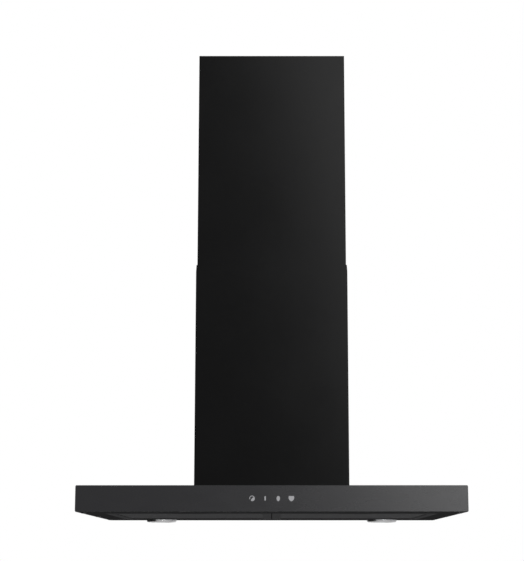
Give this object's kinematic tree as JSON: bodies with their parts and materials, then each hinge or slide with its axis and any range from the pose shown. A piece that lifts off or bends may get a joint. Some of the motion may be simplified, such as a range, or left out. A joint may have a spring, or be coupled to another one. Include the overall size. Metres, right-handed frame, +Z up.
{
  "type": "chimney range hood",
  "caption": "Black wall-mounted chimney range hood with a slim flat canopy, touch strip, grease filters, lamps and a telescoping chimney cover.",
  "frame": {"origin": "middle of the four wall-fixing holes in the blower box, on the wall plane", "axes": "+Z up, -Y out of the wall towards the cook, +X to the right as seen from the front"},
  "size_m": [0.6, 0.5002, 0.8147],
  "materials": {
    "cover_black": "gloss",
    "canopy_black": "satin",
    "front_glass": "gloss",
    "key_print": "satin",
    "filter_alu": "black anodised",
    "mesh_alu": "dark anodised",
    "ring_chrome": "satin",
    "lens_opal": "satin",
    "heat_sink": "cast",
    "galvanised": "spangled",
    "screw_steel": "satin",
    "screw_black": "satin",
    "spring_steel": "satin",
    "blower_plastic": "moulded",
    "wheel_plastic": "moulded",
    "case_plastic": "moulded",
    "latch_plastic": "moulded",
    "board_green": "lacquered",
    "motor_steel": "satin",
    "lamination": "stacked",
    "cable_black": "satin",
    "cable_white": "satin"
  },
  "bodies": {
    "hood": {"blower_box": "galvanised", "cable_gland": "blower_plastic", "canopy_shell": "canopy_black", "canopy_top_screws": "screw_steel", "capacitor": "case_plastic", "collar_flange": "blower_plastic", "collar_screws": "screw_steel", "control_board": "board_green", "control_box_base": "case_plastic", "control_box_cover": "case_plastic", "control_lead": "cable_black", "damper_pin": "screw_steel", "duct_collar": "blower_plastic", "filter_keepers": "spring_steel", "front_panel": "front_glass", "lamp_clips": "spring_steel", "lamp_driver": "case_plastic", "lamp_leads": "cable_black", "lamp_left_bezel": "ring_chrome", "lamp_left_housing": "heat_sink", "lamp_left_led_board": "board_green", "lamp_left_lens": "lens_opal", "lamp_right_bezel": "ring_chrome", "lamp_right_housing": "heat_sink", "lamp_right_led_board": "board_green", "lamp_right_lens": "lens_opal", "lower_chimney_cover": "cover_black", "motor_bearings": "screw_steel", "motor_bracket": "galvanised", "motor_can": "motor_steel", "motor_end_cap": "motor_steel", "motor_lead": "cable_black", "motor_screws": "screw_steel", "motor_stator": "lamination", "outlet_adapter": "blower_plastic", "terminal_box": "case_plastic", "touch_board": "board_green", "touch_key_marks": "key_print", "touch_lead": "cable_white", "underframe": "canopy_black", "underframe_screws": "screw_black", "volute_left": "blower_plastic", "volute_right": "blower_plastic", "volute_screws": "screw_steel"},
    "chimney_upper": {"upper_chimney_cover": "cover_black", "chimney_bracket": "galvanised", "upper_cover_screws": "screw_black"},
    "wheel": {"impeller": "wheel_plastic", "motor_shaft": "screw_steel", "motor_rotor": "lamination"},
    "flap_left": {"damper_left": "blower_plastic"},
    "flap_right": {"damper_right": "blower_plastic"},
    "filter_left": {"filter_left_frame": "filter_alu", "filter_left_mesh": "mesh_alu", "filter_left_latch_spring": "spring_steel"},
    "filter_right": {"filter_right_frame": "filter_alu", "filter_right_mesh": "mesh_alu", "filter_right_latch_spring": "spring_steel"},
    "latch_left": {"filter_left_latch": "latch_plastic"},
    "latch_right": {"filter_right_latch": "latch_plastic"}
  },
  "joints": [
    {"name": "chimney_slide", "type": "slide", "parent": "hood", "child": "chimney_upper", "axis": [0, 0, 1], "range_m": [-0.3, 0.04]},
    {"name": "wheel_spin", "type": "hinge", "parent": "hood", "child": "wheel", "pos_m": [0, -0.126, -0.02], "axis": [1, 0, 0], "continuous": true},
    {"name": "flap_left_swing", "type": "hinge", "parent": "hood", "child": "flap_left", "pos_m": [0, -0.172, 0.166], "axis": [0, 1, 0], "range_deg": [0, 75]},
    {"name": "flap_right_swing", "type": "hinge", "parent": "hood", "child": "flap_right", "pos_m": [0, -0.172, 0.166], "axis": [0, -1, 0], "range_deg": [0, 75]},
    {"name": "filter_left_tilt", "type": "hinge", "parent": "hood", "child": "filter_left", "pos_m": [-0.1325, -0.0815, -0.189], "axis": [1, 0, 0], "range_deg": [0, 45], "deforming": ["filter_keepers"]},
    {"name": "latch_left_pull", "type": "slide", "parent": "filter_left", "child": "latch_left", "axis": [0, 1, 0], "range_m": [0, 0.006], "stiffness_N_per_m": 300, "springref_m": -0.01, "deforming": ["filter_left_latch_spring"]},
    {"name": "filter_right_tilt", "type": "hinge", "parent": "hood", "child": "filter_right", "pos_m": [0.1325, -0.0815, -0.189], "axis": [1, 0, 0], "range_deg": [0, 45], "deforming": ["filter_keepers"]},
    {"name": "latch_right_pull", "type": "slide", "parent": "filter_right", "child": "latch_right", "axis": [0, 1, 0], "range_m": [0, 0.006], "stiffness_N_per_m": 300, "springref_m": -0.01, "deforming": ["filter_right_latch_spring"]}
  ]
}
